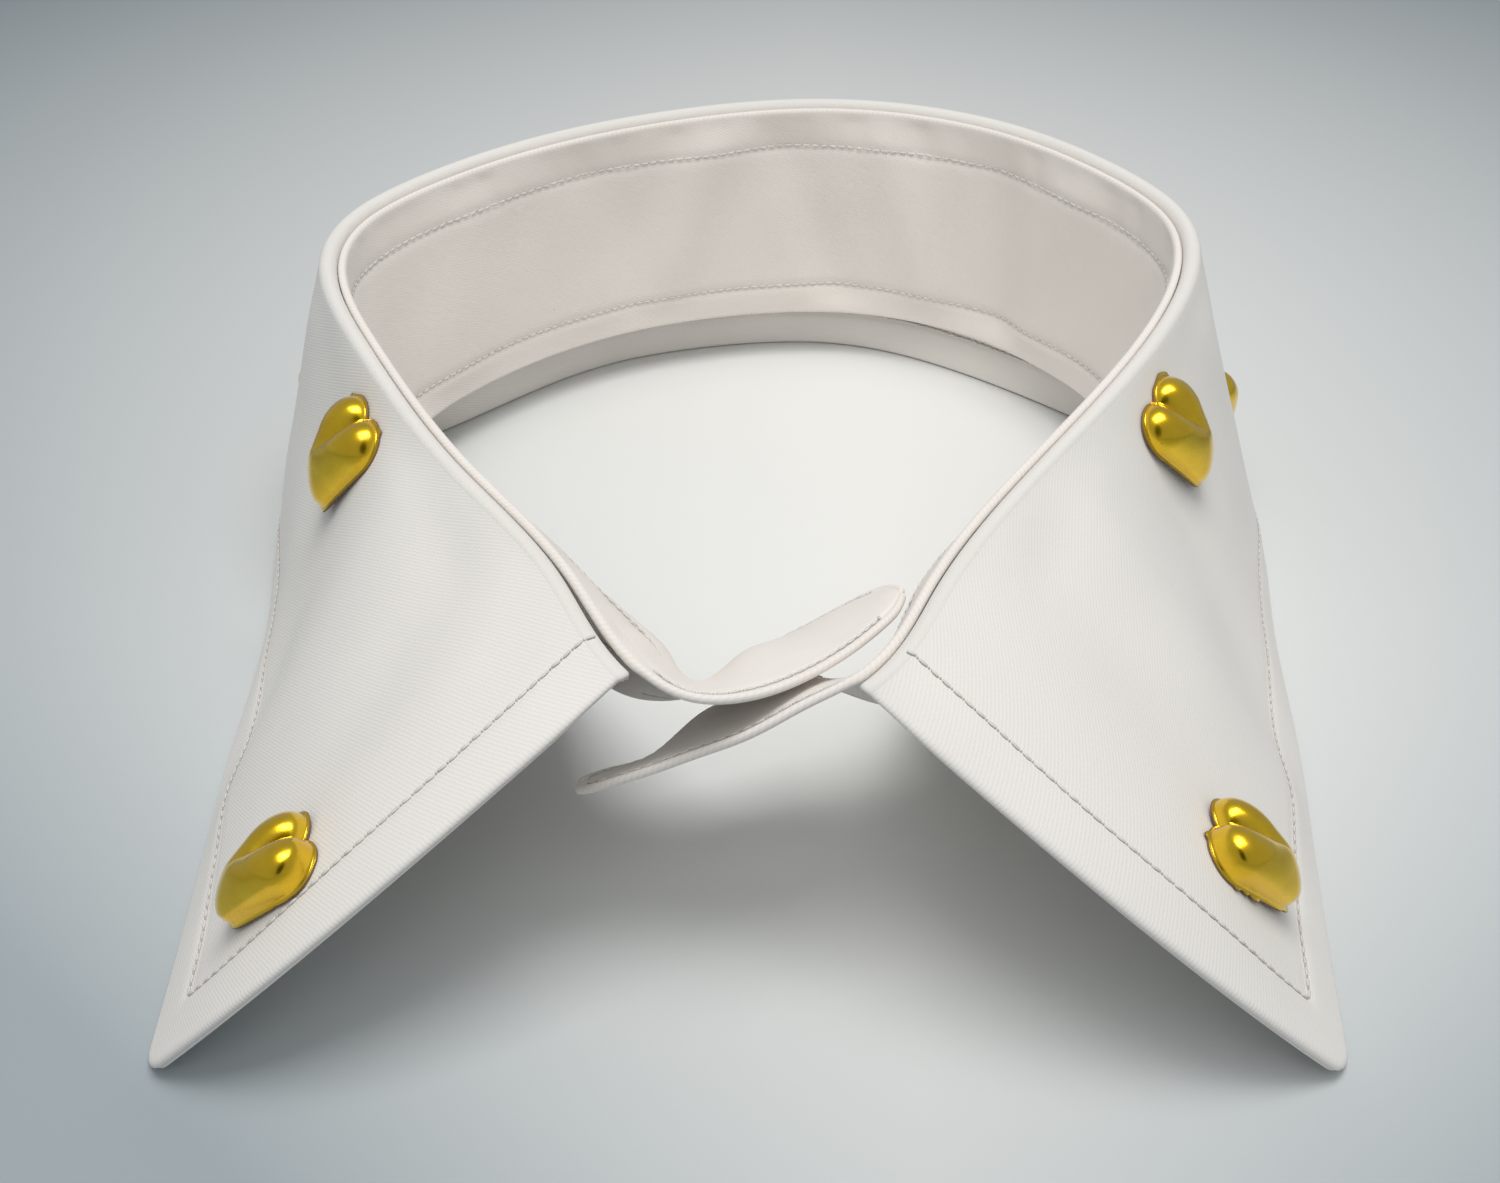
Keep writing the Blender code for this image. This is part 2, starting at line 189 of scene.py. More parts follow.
def leaf_point(along, run):
    """Return points of the leaf's outer face: run is below 0 in the seam, 0 to 1 over the
    roll and 1 to 2 down the fall."""
    rim, foot = RIM(along), FOOT(along)
    down = unit(foot - rim)
    level = outward(along)
    out = unit(level - dot(level, down) * down)
    seam = rim + out * (BAND_WALL + SEAM_GAP)
    shoulder = rim + level * (BAND_WALL + SEAM_GAP + 2 * ROLL_RADIUS)
    hem = np.concatenate([HEM(along), 0 * along[..., None]], axis=-1)
    fall = unit(hem - shoulder)
    turn = np.arctan2(dot(fall, out), dot(fall, -down)) % (2 * math.pi)
    run = run[..., None]

    def rolled(share):
        angle = turn * share
        return seam + ROLL_RADIUS * (out * (1 - np.cos(angle)) - down * np.sin(angle))

    start = rolled(1.0)
    chord = hem - start
    slope = unit(chord)
    flatness = np.clip((FLAT_CUT_SLOPE + slope[..., 2]) / FLAT_CUT_BLEND, 0, 1)
    chord[..., 2] += LEAF_WALL * np.hypot(slope[..., 0], slope[..., 1]) * flatness
    side = unit(np.cross(rim_ahead(along), chord))
    curve = CURVE(along)
    share = np.clip(run - 1, 0, 1)
    late = share ** CURVE_LATENESS
    bend = (side * curve[..., :1] + TOWARD_POINTS * curve[..., 1:]) * 4 * late * (1 - late)
    in_seam = seam + down * SEAM_LEG * -run
    over_roll = rolled(np.clip(run, 0, 1))
    return np.where(run < 0, in_seam, np.where(run <= 1, over_roll, start + chord * share + bend))


def face_normals(point_at, along, run):
    """Return the face's outward normals, from points just round each place."""
    ahead = point_at(along + ALONG_PROBE, run) - point_at(along - ALONG_PROBE, run)
    down = point_at(along, run + RUN_PROBE) - point_at(along, run - RUN_PROBE)
    return unit(np.cross(ahead, down))


def leaf_normals(along, run):
    return face_normals(leaf_point, along, np.clip(run, -1, 2 - RUN_PROBE))


def band_normals(along, share):
    """Return the band's normals toward the leaf's side."""
    inside = np.clip(along, BAND_ALONG[0] + ALONG_PROBE, BAND_ALONG[-1] - ALONG_PROBE)
    normals = face_normals(band_point, inside, share)
    out = outward(inside)
    return normals * np.sign(dot(normals, out))


def distance_to(points, line):
    """Return each point's distance to the nearest point of a finely drawn line."""
    flat = points.reshape(-1, 3)
    best = np.full(len(flat), np.inf)
    for start in range(0, len(flat), POINTS_AT_ONCE):
        part = flat[start:start + POINTS_AT_ONCE]
        gaps = np.linalg.norm(part[:, None, :] - line[None, :, :], axis=2)
        best[start:start + POINTS_AT_ONCE] = gaps.min(axis=1)
    return best.reshape(points.shape[:-1])


def smooth_step(value, low, high):
    x = np.clip((value - low) / (high - low), 0, 1)
    return x * x * (3 - 2 * x)


def to_metres(points):
    """Move table points to the collar's own frame, in metres and above the floor."""
    moved = np.array(points, float)
    moved[..., 0] -= PLAN_CENTRE[0]
    moved[..., 1] -= PLAN_CENTRE[1]
    moved[..., 2] = np.maximum(moved[..., 2], FLOOR_CLEARANCE)
    return moved * MM


EDGE_STEPS = (0.0, 0.25, 0.55, 0.95, 1.4)
STITCHED_STEP = 0.48
STITCHED_REACH = 9.2


def edged(start, end, step):
    """Return places between two ends, closer together from each end to past its stitches."""
    fine = np.arange(EDGE_STEPS[-1] + STITCHED_STEP, STITCHED_REACH, STITCHED_STEP)
    near = np.concatenate([EDGE_STEPS, fine])
    count = int((end - start - 2 * near[-1]) / step)
    middle = np.linspace(start + near[-1], end - near[-1], count + 1)[1:-1]
    return np.concatenate([start + near, middle, end - near[::-1]])


def make_mesh(name, points, faces, materials, slots=None, uv=None):
    """Put a mesh in the scene from points in metres and faces of vertex numbers."""
    mesh = bpy.data.meshes.new(name)
    mesh.from_pydata([tuple(p) for p in points], [], [tuple(f) for f in faces])
    for item in materials:
        mesh.materials.append(item)
    if slots is not None:
        mesh.polygons.foreach_set("material_index", np.array(slots, np.int32))
    if uv is not None:
        layer = mesh.uv_layers.new(name="UVMap")
        corner = np.zeros(len(mesh.loops), np.int32)
        mesh.loops.foreach_get("vertex_index", corner)
        layer.data.foreach_set("uv", np.array(uv, np.float32)[corner].ravel())
    mesh.polygons.foreach_set("use_smooth", np.ones(len(mesh.polygons), bool))
    mesh.update()
    piece = bpy.data.objects.new(name, mesh)
    bpy.context.scene.collection.objects.link(piece)
    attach(piece, "root")
    return piece


def face_outward(piece):
    """Turn all faces of a closed piece outward."""
    bpy.context.view_layer.objects.active = piece
    for item in bpy.context.selected_objects:
        item.select_set(False)
    piece.select_set(True)
    bpy.ops.object.mode_set(mode="EDIT")
    bpy.ops.mesh.select_all(action="SELECT")
    bpy.ops.mesh.normals_make_consistent(inside=False)
    bpy.ops.object.mode_set(mode="OBJECT")
    piece.select_set(False)


# How a turned edge swells past the cloth's own border: out from the border and up toward
# the face, in shares of the edge's thickness. The plies part in a fine groove.
Bead = namedtuple("Bead", "out up")
PLY_EDGE = (
    Bead(0.24, 0.47), Bead(0.44, 0.37), Bead(0.56, 0.22), Bead(0.58, 0.06), Bead(0.50, -0.06),
    Bead(0.30, -0.12), Bead(0.38, -0.19), Bead(0.44, -0.29), Bead(0.38, -0.40), Bead(0.22, -0.48),
)
PLAIN_EDGE = (
    Bead(0.20, 0.47), Bead(0.40, 0.36), Bead(0.50, 0.18), Bead(0.52, 0.0),
    Bead(0.50, -0.18), Bead(0.40, -0.36), Bead(0.20, -0.47),
)


def cloth_shell(name, face, back, uv, edge, cloth):
    """Close two grids of points into one shell with a swelling edge all round."""
    rows, columns = face.shape[:2]
    number = np.arange(rows * columns).reshape(rows, columns)
    points = [face.reshape(-1, 3), back.reshape(-1, 3)]
    uvs = [uv.reshape(-1, 2), uv.reshape(-1, 2)]
    corner = [number[:-1, :-1], number[:-1, 1:], number[1:, 1:], number[1:, :-1]]
    quads = np.stack([c.ravel() for c in corner], axis=1)
    faces = [quads, quads[:, ::-1] + rows * columns]

    i = np.concatenate([np.arange(rows), np.full(columns - 1, rows - 1),
                        np.arange(rows - 2, -1, -1), np.zeros(columns - 2, int)])
    j = np.concatenate([np.zeros(rows, int), np.arange(1, columns),
                        np.full(rows - 1, columns - 1), np.arange(columns - 2, 0, -1)])
    middle = (face + back) / 2
    rim = middle[i, j]
    up = (face - back)[i, j]
    thick = np.linalg.norm(up, axis=1, keepdims=True)
    before = np.roll(rim, 1, axis=0)
    after = np.roll(rim, -1, axis=0)
    out = unit(np.cross(after - before, up))
    inner = middle[np.clip(i, 1, rows - 2), np.clip(j, 1, columns - 2)]
    out = out * np.sign(dot(out, rim - inner))
    out = unit(out + np.roll(out, 1, axis=0) + np.roll(out, -1, axis=0))

    ring = [number[i, j]]
    base = 2 * rows * columns
    for bead in edge:
        points.append(rim + out * thick * bead.out + up * bead.up)
        uvs.append(uv[i, j] + (0.5 - bead.up) * MM)
        ring.append(base + np.arange(len(i)))
        base += len(i)
    ring.append(number[i, j] + rows * columns)
    for low, high in zip(ring, ring[1:]):
        faces.append(np.stack([low, np.roll(low, -1), np.roll(high, -1), high], axis=1)[:, ::-1])
    piece = make_mesh(name, to_metres(np.concatenate(points)), np.concatenate(faces),
                      [cloth], uv=np.concatenate(uvs))
    face_outward(piece)
    return piece


class Nodes:
    """A short way to add and join shader nodes."""

    def __init__(self, name):
        self.material = bpy.data.materials.new(name)
        self.material.use_nodes = True
        self.tree = self.material.node_tree
        self.shader = self.tree.nodes["Principled BSDF"]

    def add(self, kind, **inputs):
        node = self.tree.nodes.new(kind)
        for key, value in inputs.items():
            node.inputs[key.replace("_", " ")].default_value = value
        return node

    def link(self, source, target):
        self.tree.links.new(source, target)

    def ramp(self, source, low, high, dark, light):
        node = self.add("ShaderNodeValToRGB")
        node.color_ramp.elements[0].position = low
        node.color_ramp.elements[1].position = high
        node.color_ramp.elements[0].color = (*dark, 1.0)
        node.color_ramp.elements[1].color = (*light, 1.0)
        self.link(source, node.inputs["Fac"])
        return node.outputs["Color"]

    def maths(self, operation, a, b):
        node = self.add("ShaderNodeMath")
        node.operation = operation
        for socket, value in zip(node.inputs, (a, b)):
            if isinstance(value, (int, float)):
                socket.default_value = value
            else:
                self.link(value, socket)
        return node.outputs[0]


TWILL_PITCH = 0.42 * MM
THREAD_PITCH = 0.30 * MM


def make_cotton(name, light, shade):
    """Return white cotton twill: fine slanting ridges, threads across them, painted shade in the
    weave's low places and faint marks.
    """
    n = Nodes(name)
    uv = n.add("ShaderNodeUVMap")
    uv.uv_map = "UVMap"
    slant = n.add("ShaderNodeMapping")
    slant.inputs["Rotation"].default_value = (0.0, 0.0, math.radians(62))
    n.link(uv.outputs["UV"], slant.inputs["Vector"])
    twill = n.add("ShaderNodeTexWave", Scale=math.pi / (10 * TWILL_PITCH), Distortion=1.2, Detail=1.0)
    twill.inputs["Detail Scale"].default_value = 2.0
    n.link(slant.outputs["Vector"], twill.inputs["Vector"])
    thread = n.add("ShaderNodeTexWave", Scale=math.pi / (10 * THREAD_PITCH), Distortion=0.8, Detail=1.0)
    thread.bands_direction = "Y"
    n.link(uv.outputs["UV"], thread.inputs["Vector"])
    fibre = n.add("ShaderNodeTexNoise", Scale=2600.0, Detail=3.0, Roughness=0.6)
    n.link(uv.outputs["UV"], fibre.inputs["Vector"])
    weave = n.maths("ADD", n.maths("MULTIPLY", twill.outputs["Fac"], 0.6),
                    n.maths("MULTIPLY", thread.outputs["Fac"], 0.25))
    height = n.maths("ADD", weave, n.maths("MULTIPLY", fibre.outputs["Fac"], 0.5))
    bump = n.add("ShaderNodeBump", Strength=0.35, Distance=0.00006)
    n.link(height, bump.inputs["Height"])
    n.link(bump.outputs["Normal"], n.shader.inputs["Normal"])

    patch = n.add("ShaderNodeTexNoise", Scale=38.0, Detail=4.0, Roughness=0.55)
    n.link(uv.outputs["UV"], patch.inputs["Vector"])
    tone = n.ramp(patch.outputs["Fac"], 0.32, 0.68, shade, light)
    # Painted shade: the weave's low places are coloured up to 7 % darker, as shade between the threads.
    weave_trough_shade = n.ramp(height, 0.2, 0.95, (0.93, 0.925, 0.915), (1.0, 1.0, 1.0))
    cloth = n.add("ShaderNodeMix")
    cloth.data_type = "RGBA"
    cloth.blend_type = "MULTIPLY"
    cloth.inputs[0].default_value = 1.0
    n.link(tone, cloth.inputs[6])
    n.link(weave_trough_shade, cloth.inputs[7])

    speck = n.add("ShaderNodeTexVoronoi", Scale=95.0, Randomness=1.0)
    n.link(uv.outputs["UV"], speck.inputs["Vector"])
    rare = n.add("ShaderNodeTexNoise", Scale=60.0, Detail=1.0)
    n.link(uv.outputs["UV"], rare.inputs["Vector"])
    near = n.maths("LESS_THAN", speck.outputs["Distance"], 0.018)
    chosen = n.maths("MULTIPLY", near, n.maths("GREATER_THAN", rare.outputs["Fac"], 0.6))
    lint = n.add("ShaderNodeMix")
    lint.data_type = "RGBA"
    lint.inputs[7].default_value = (0.42, 0.43, 0.46, 1.0)
    n.link(n.maths("MULTIPLY", chosen, 0.6), lint.inputs[0])
    n.link(cloth.outputs[2], lint.inputs[6])
    n.link(lint.outputs[2], n.shader.inputs["Base Color"])
    n.shader.inputs["Roughness"].default_value = 0.8
    n.shader.inputs["Sheen Weight"].default_value = 0.12
    n.shader.inputs["Sheen Roughness"].default_value = 0.45
    n.shader.inputs["Specular IOR Level"].default_value = 0.28
    return n.material


def make_plain(name, color, roughness):
    n = Nodes(name)
    noise = n.add("ShaderNodeTexNoise", Scale=900.0, Detail=2.0)
    place = n.add("ShaderNodeTexCoord")
    n.link(place.outputs["Object"], noise.inputs["Vector"])
    low = tuple(0.82 * c for c in color)
    n.link(n.ramp(noise.outputs["Fac"], 0.3, 0.7, low, color), n.shader.inputs["Base Color"])
    n.shader.inputs["Roughness"].default_value = roughness
    return n.material


def make_gold(name):
    """Return polished gold-coloured metal, a little cloudy."""
    n = Nodes(name)
    place = n.add("ShaderNodeTexCoord")
    cloud = n.add("ShaderNodeTexNoise", Scale=260.0, Detail=4.0, Roughness=0.6)
    n.link(place.outputs["Object"], cloud.inputs["Vector"])
    n.link(n.ramp(cloud.outputs["Fac"], 0.3, 0.7, (0.84, 0.52, 0.006), (0.95, 0.63, 0.014)),
           n.shader.inputs["Base Color"])
    grain = n.add("ShaderNodeTexNoise", Scale=1500.0, Detail=3.0)
    n.link(place.outputs["Object"], grain.inputs["Vector"])
    gloss = n.add("ShaderNodeMapRange")
    gloss.inputs["To Min"].default_value = 0.22
    gloss.inputs["To Max"].default_value = 0.32
    n.link(cloud.outputs["Fac"], gloss.inputs["Value"])
    n.link(gloss.outputs["Result"], n.shader.inputs["Roughness"])
    bump = n.add("ShaderNodeBump", Strength=0.12, Distance=0.00008)
    n.link(grain.outputs["Fac"], bump.inputs["Height"])
    n.link(bump.outputs["Normal"], n.shader.inputs["Normal"])
    n.shader.inputs["Metallic"].default_value = 1.0
    n.shader.inputs["Coat Weight"].default_value = 0.7
    n.shader.inputs["Coat Roughness"].default_value = 0.10
    n.shader.inputs["Coat IOR"].default_value = 1.5
    return n.material


cotton_leaf = make_cotton("cotton_leaf", (0.865, 0.835, 0.795), (0.835, 0.805, 0.77))
cotton_band = make_cotton("cotton_band", (0.875, 0.825, 0.78), (0.835, 0.785, 0.74))
# Painted shade: the white thread is given a grey tone, for the shade along the stitch lines.
thread_white = make_plain("thread_white", (0.76, 0.74, 0.71), 0.6)
# Painted shade: small grey discs lie on the cloth at the needle holes, for the shade in the holes.
needle_hole = make_plain("needle_hole", (0.62, 0.59, 0.56), 0.9)
gold = make_gold("gold")
# The flange's cut edge is brownish; the same dark colour also paints shade under the flange, on its
# foot and on the heart's underside.
tarnish_and_shade = make_plain("tarnished_edge", (0.22, 0.12, 0.03), 0.5)

# Soft creases: a line on the cloth from one place to another, with its half width and its
# height in millimetres, below zero for a trough. Places are along the seam and share of
# the fall.
Crease = namedtuple("Crease", "along share to_along to_share width height")
LEAF_CREASES = (
    Crease(34.0, 0.05, 12.0, 0.80, 8.0, -0.8),
    Crease(48.0, 0.10, 30.0, 0.90, 7.0, 0.6),
    Crease(66.0, 0.35, 42.0, 0.95, 9.0, -1.1),
    Crease(94.0, 0.05, 88.0, 1.00, 9.0, 0.5),
    Crease(120.0, 0.10, 126.0, 0.95, 8.0, -0.5),
    Crease(152.0, 0.05, 146.0, 0.90, 9.0, 0.4),
    Crease(188.0, 0.10, 197.0, 0.95, 8.0, -0.5),
    Crease(229.0, 0.05, 222.0, 0.95, 9.0, 0.4),
    Crease(264.0, 0.10, 272.0, 0.90, 8.0, -0.5),
    Crease(298.0, 0.05, 305.0, 1.00, 9.0, 0.5),
    Crease(330.0, 0.35, 354.0, 0.95, 9.0, -1.0),
    Crease(348.0, 0.10, 366.0, 0.90, 7.0, 0.6),
    Crease(362.0, 0.05, 382.0, 0.80, 8.0, -0.7),
)
BAND_CREASES = (
    Crease(-22.0, 0.20, -10.0, 0.90, 4.0, 0.4),
    Crease(2.0, 0.10, -4.0, 0.95, 3.0, -0.5),
    Crease(28.0, 0.15, 36.0, 0.90, 7.0, 0.5),
    Crease(70.0, 0.20, 62.0, 0.90, 7.0, -0.5),
    Crease(103.0, 0.10, 112.0, 0.90, 8.0, -0.7),
    Crease(136.0, 0.15, 127.0, 0.85, 9.0, 0.8),
    Crease(160.0, 0.10, 171.0, 0.90, 6.0, -0.8),
    Crease(184.0, 0.05, 173.0, 0.85, 5.5, 1.1),
    Crease(196.0, 0.10, 207.0, 0.90, 5.0, -1.2),
    Crease(213.0, 0.05, 224.0, 0.80, 5.5, 1.1),
    Crease(236.0, 0.10, 240.0, 0.90, 5.5, -1.1),
    Crease(254.0, 0.15, 248.0, 0.85, 6.5, 0.9),
    Crease(282.0, 0.10, 289.0, 0.90, 8.0, -0.6),
    Crease(312.0, 0.10, 304.0, 0.90, 8.0, 0.5),
    Crease(346.0, 0.15, 354.0, 0.90, 7.0, 0.4),
    Crease(392.0, 0.15, 400.0, 0.90, 5.0, -0.5),
)
CREASE_STEPS = 24
Waves = namedtuple("Waves", "seed amount")
LEAF_WAVES = Waves(11, 0.16)
BAND_WAVES = Waves(3, 0.2)
WAVE_COUNT = 9
SHORTEST_WAVE = 14
LONGEST_WAVE = 46


def crease_height(points, creases, point_at, first_run):
    """Return how far creases lift each point of a face."""
    height = np.zeros(points.shape[:-1])
    for crease in creases:
        part = np.linspace(0, 1, CREASE_STEPS)
        along = crease.along + (crease.to_along - crease.along) * part
        share = crease.share + (crease.to_share - crease.share) * part
        line = point_at(along, share + first_run)
        height += crease.height * np.exp(-(distance_to(points, line) / crease.width) ** 2)
    return height


def waviness(along, down, waves):
    """Return a slight unevenness over a face, from a few long waves."""
    dice = np.random.default_rng(waves.seed)
    height = np.zeros(np.broadcast(along, down).shape)
    for _ in range(WAVE_COUNT):
        length = dice.uniform(SHORTEST_WAVE, LONGEST_WAVE)
        angle = dice.uniform(0, math.pi)
        phase = dice.uniform(0, 2 * math.pi)
        wave = (along * math.cos(angle) + down * math.sin(angle)) * 2 * math.pi / length
        height += waves.amount * math.sqrt(length / LONGEST_WAVE) * np.sin(wave + phase) / 3
    return height


LEAF_STEP = 0.9
LEAF_FALL_ROWS = 40
MEAN_FALL = 56.0
LEAF_EDGE_REACH = 0.85
LEAF_POINT_ROUND = 3.4
HEM_STRETCH = 1.35
TOPSTITCH_IN = 7.0
MARGIN_PUFF = 0.5
GROOVE_DEPTH = 0.30
GROOVE_WIDTH = 0.8
MARGIN_EDGE = (TOPSTITCH_IN - 0.8, TOPSTITCH_IN + 0.6)
LEG_RUNS = (-1.0, -0.5)
ROLL_ROWS = 10
FALL_START = (0.02, 0.04)
HEM_ROWS = 16
CREASE_FADE = 9.0
ROLL_FADE = 1.15

_straight = leaf_point(LEAF_ALONG, 0 * LEAF_ALONG + 2) - leaf_point(LEAF_ALONG, 0 * LEAF_ALONG + 1)
fall_length = spline(LEAF_ALONG, np.linalg.norm(_straight, axis=1))


_front = np.linspace(0, 1, 260)
_hem = np.linspace(0, LEAF_END, 900)
FRONT_RIGHT = leaf_point(0 * _front, 1 + _front)
FRONT_LEFT = leaf_point(0 * _front + LEAF_END, 1 + _front)
HEM_LINE = leaf_point(_hem, 0 * _hem + 2)


def make_leaf_shell():
    along = edged(LEAF_EDGE_REACH / HEM_STRETCH, LEAF_END - LEAF_EDGE_REACH / HEM_STRETCH, LEAF_STEP)
    upper = np.linspace(FALL_START[1], 1 - STITCHED_REACH / MEAN_FALL, LEAF_FALL_ROWS)
    lower = edged(-MEAN_FALL, MEAN_FALL, 1.0)[-len(EDGE_STEPS) - HEM_ROWS:] / MEAN_FALL
    fall_columns = np.concatenate([FALL_START[:1], upper, lower])
    roll = np.linspace(0, 1, ROLL_ROWS)
    leg = np.array(LEG_RUNS)
    columns = len(leg) + len(roll) + len(fall_columns)
    along_grid = np.repeat(along[:, None], columns, axis=1)
    length = fall_length(along)[:, 0]
    reach = LEAF_EDGE_REACH / length
    fall = 1 + fall_columns[None, :] * (1 - reach[:, None])
    run_grid = np.concatenate([np.repeat(leg[None, :], len(along), axis=0),
                               np.repeat(roll[None, :], len(along), axis=0), fall], axis=1)
    for front in (0.0, LEAF_END):
        side = 1 if front == 0.0 else -1
        a = (along_grid - front) * side * HEM_STRETCH
        b = (2 - run_grid) * length[:, None]
        near = (a < LEAF_POINT_ROUND) & (b < LEAF_POINT_ROUND) & (run_grid > 1)
        x = (LEAF_POINT_ROUND - a) / LEAF_POINT_ROUND
        y = (LEAF_POINT_ROUND - b) / LEAF_POINT_ROUND
        pull = np.maximum(x, y) / np.maximum(np.hypot(x, y), 1e-9)
        new_a = LEAF_POINT_ROUND * (1 - x * pull)
        new_b = LEAF_POINT_ROUND * (1 - y * pull)
        along_grid = np.where(near, front + side * new_a / HEM_STRETCH, along_grid)
        run_grid = np.where(near, 2 - new_b / length[:, None], run_grid)
    base = leaf_point(along_grid, run_grid)
    normals = leaf_normals(along_grid, run_grid)
    on_fall = smooth_step(run_grid, 1.0, ROLL_FADE)
    edge = np.minimum(distance_to(base, FRONT_RIGHT), distance_to(base, FRONT_LEFT))
    edge = np.minimum(edge, distance_to(base, HEM_LINE))
    margin = 1 - smooth_step(edge, *MARGIN_EDGE)
    groove = np.exp(-((edge - TOPSTITCH_IN) / GROOVE_WIDTH) ** 2)
    thick = LEAF_WALL + (MARGIN_PUFF * margin - GROOVE_DEPTH * groove) * on_fall
    down = (run_grid - 1) * length[:, None]
    lift = crease_height(base, LEAF_CREASES, leaf_point, 1.0) + waviness(along_grid, down, LEAF_WAVES)
    lift = lift * on_fall * smooth_step(edge, 0.0, CREASE_FADE)
    extra = (thick - LEAF_WALL)[..., None] / 2
    face = base + normals * (lift[..., None] + extra)
    back = base + normals * (lift[..., None] - LEAF_WALL - extra)
    uv = np.stack([along_grid, (run_grid - 1) * length[:, None]], axis=-1) * MM
    return cloth_shell("leaf_cloth", face, back, uv, PLY_EDGE, cotton_leaf)


BAND_STEP = 0.9
BAND_ROW_STEP = 0.9
BAND_EDGE_REACH = 0.5
TAB_END_REACH = 0.9
LOWER_END_REACH = 1.9
UPPER_STITCH_IN = 6.5
LOWER_STITCH_IN = 5.5
TAB_STITCH_IN = 1.5
PUCKER_COUNT = 46
SEAM_FILL = 0.2
SEAM_FILL_FADE = (1.0, 4.0)
BAND_TALL = 38.0
LARGEST_REACH = 0.3
CORNER_FADE = 12.0
TAB_FADE = 3.0
TAB_GROOVE_WIDTH = 0.45
BAND_GROOVE = 0.22
PUCKER_FROM_CORNER = 6
PUCKER_SHIFT = 3
PUCKER_DEPTH = (0.1, 0.42)
PUCKER_WIDTH = (1.6, 3.0)
PUCKER_SLANT = 0.25
PUCKER_MIDDLE = 3
PUCKER_START = (0.4, 2.4)
PUCKER_END = (5.0, 9.0)
RIM_FADE = 7
FOOT_FADE = 5
OUTSIDE_SHARE = 0.6


def band_height(along):
    return np.linalg.norm(FOOT(along) - RIM(along), axis=-1)


def make_band_shell():
    along = edged(BAND_ALONG[0] + TAB_END_REACH, BAND_ALONG[-1] - LOWER_END_REACH, BAND_STEP)
    rows = edged(0.0, BAND_TALL, BAND_ROW_STEP) / BAND_TALL
    along_grid = np.repeat(along[:, None], len(rows), axis=1)
    tall = band_height(along)[:, None]
    reach = np.minimum(BAND_EDGE_REACH / tall, LARGEST_REACH)
    share = reach + rows[None, :] * (1 - 2 * reach)
    base = band_point(along_grid, share)
    normals = band_normals(along_grid, share)
    from_rim = share * tall
    from_foot = (1 - share) * tall
    from_corner = np.minimum(along_grid, LEAF_END - along_grid)
    on_leaf = smooth_step(from_corner, 0.0, CORNER_FADE)
    tab = 1 - smooth_step(from_corner, -TAB_FADE, TAB_FADE)
    groove = np.exp(-((from_rim - UPPER_STITCH_IN) / GROOVE_WIDTH) ** 2) * on_leaf
    groove += np.exp(-((from_foot - LOWER_STITCH_IN) / GROOVE_WIDTH) ** 2) * on_leaf
    groove += np.exp(-((np.minimum(from_rim, from_foot) - TAB_STITCH_IN) / TAB_GROOVE_WIDTH) ** 2) * tab
    dice = np.random.default_rng(5)
    pucker = np.zeros_like(share)
    for place in np.linspace(PUCKER_FROM_CORNER, LEAF_END - PUCKER_FROM_CORNER, PUCKER_COUNT):
        centre = place + dice.uniform(-PUCKER_SHIFT, PUCKER_SHIFT)
        depth = dice.uniform(*PUCKER_DEPTH)
        width = dice.uniform(*PUCKER_WIDTH)
        aside = along_grid - centre - PUCKER_SLANT * (from_rim - PUCKER_MIDDLE)
        pucker += depth * np.exp(-(aside / width) ** 2)
    window = smooth_step(from_rim, *PUCKER_START) * (1 - smooth_step(from_rim, *PUCKER_END))
    height = crease_height(base, BAND_CREASES, band_point, 0.0)
    height += waviness(along_grid, from_rim, BAND_WAVES)
    height = height * smooth_step(from_rim, 0, RIM_FADE) * smooth_step(from_foot, 0, FOOT_FADE)
    height = height - pucker * window
    extra = -BAND_GROOVE * groove[..., None]
    sewn = smooth_step(from_corner, -1.0, 1.5)
    seam = SEAM_FILL * (1 - smooth_step(from_rim, *SEAM_FILL_FADE)) * sewn
    face = base - normals * (height[..., None] + extra)
    back = base + normals * (BAND_WALL - OUTSIDE_SHARE * height + seam)[..., None] + normals * extra
    uv = np.stack([along_grid, from_rim], axis=-1) * MM
    return cloth_shell("band_cloth", face, back, uv, PLAIN_EDGE, cotton_band)


STITCH_PITCH = 1.6
STITCH_LENGTH = 1.15
STITCH_WIDTH = 0.44
STITCH_RISE = 0.28
STITCH_SIDES = 6
STITCH_RINGS = ((-0.5, 0.3), (-0.4, 0.8), (0.0, 1.0), (0.4, 0.8), (0.5, 0.3))
HOLE_RADIUS = 0.13
HOLE_RISE = 0.02
HOLE_DEPTH = 0.12
STITCH_SKEW = 0.14
FIRST_SEED = 40
STITCH_PROBE = 0.3


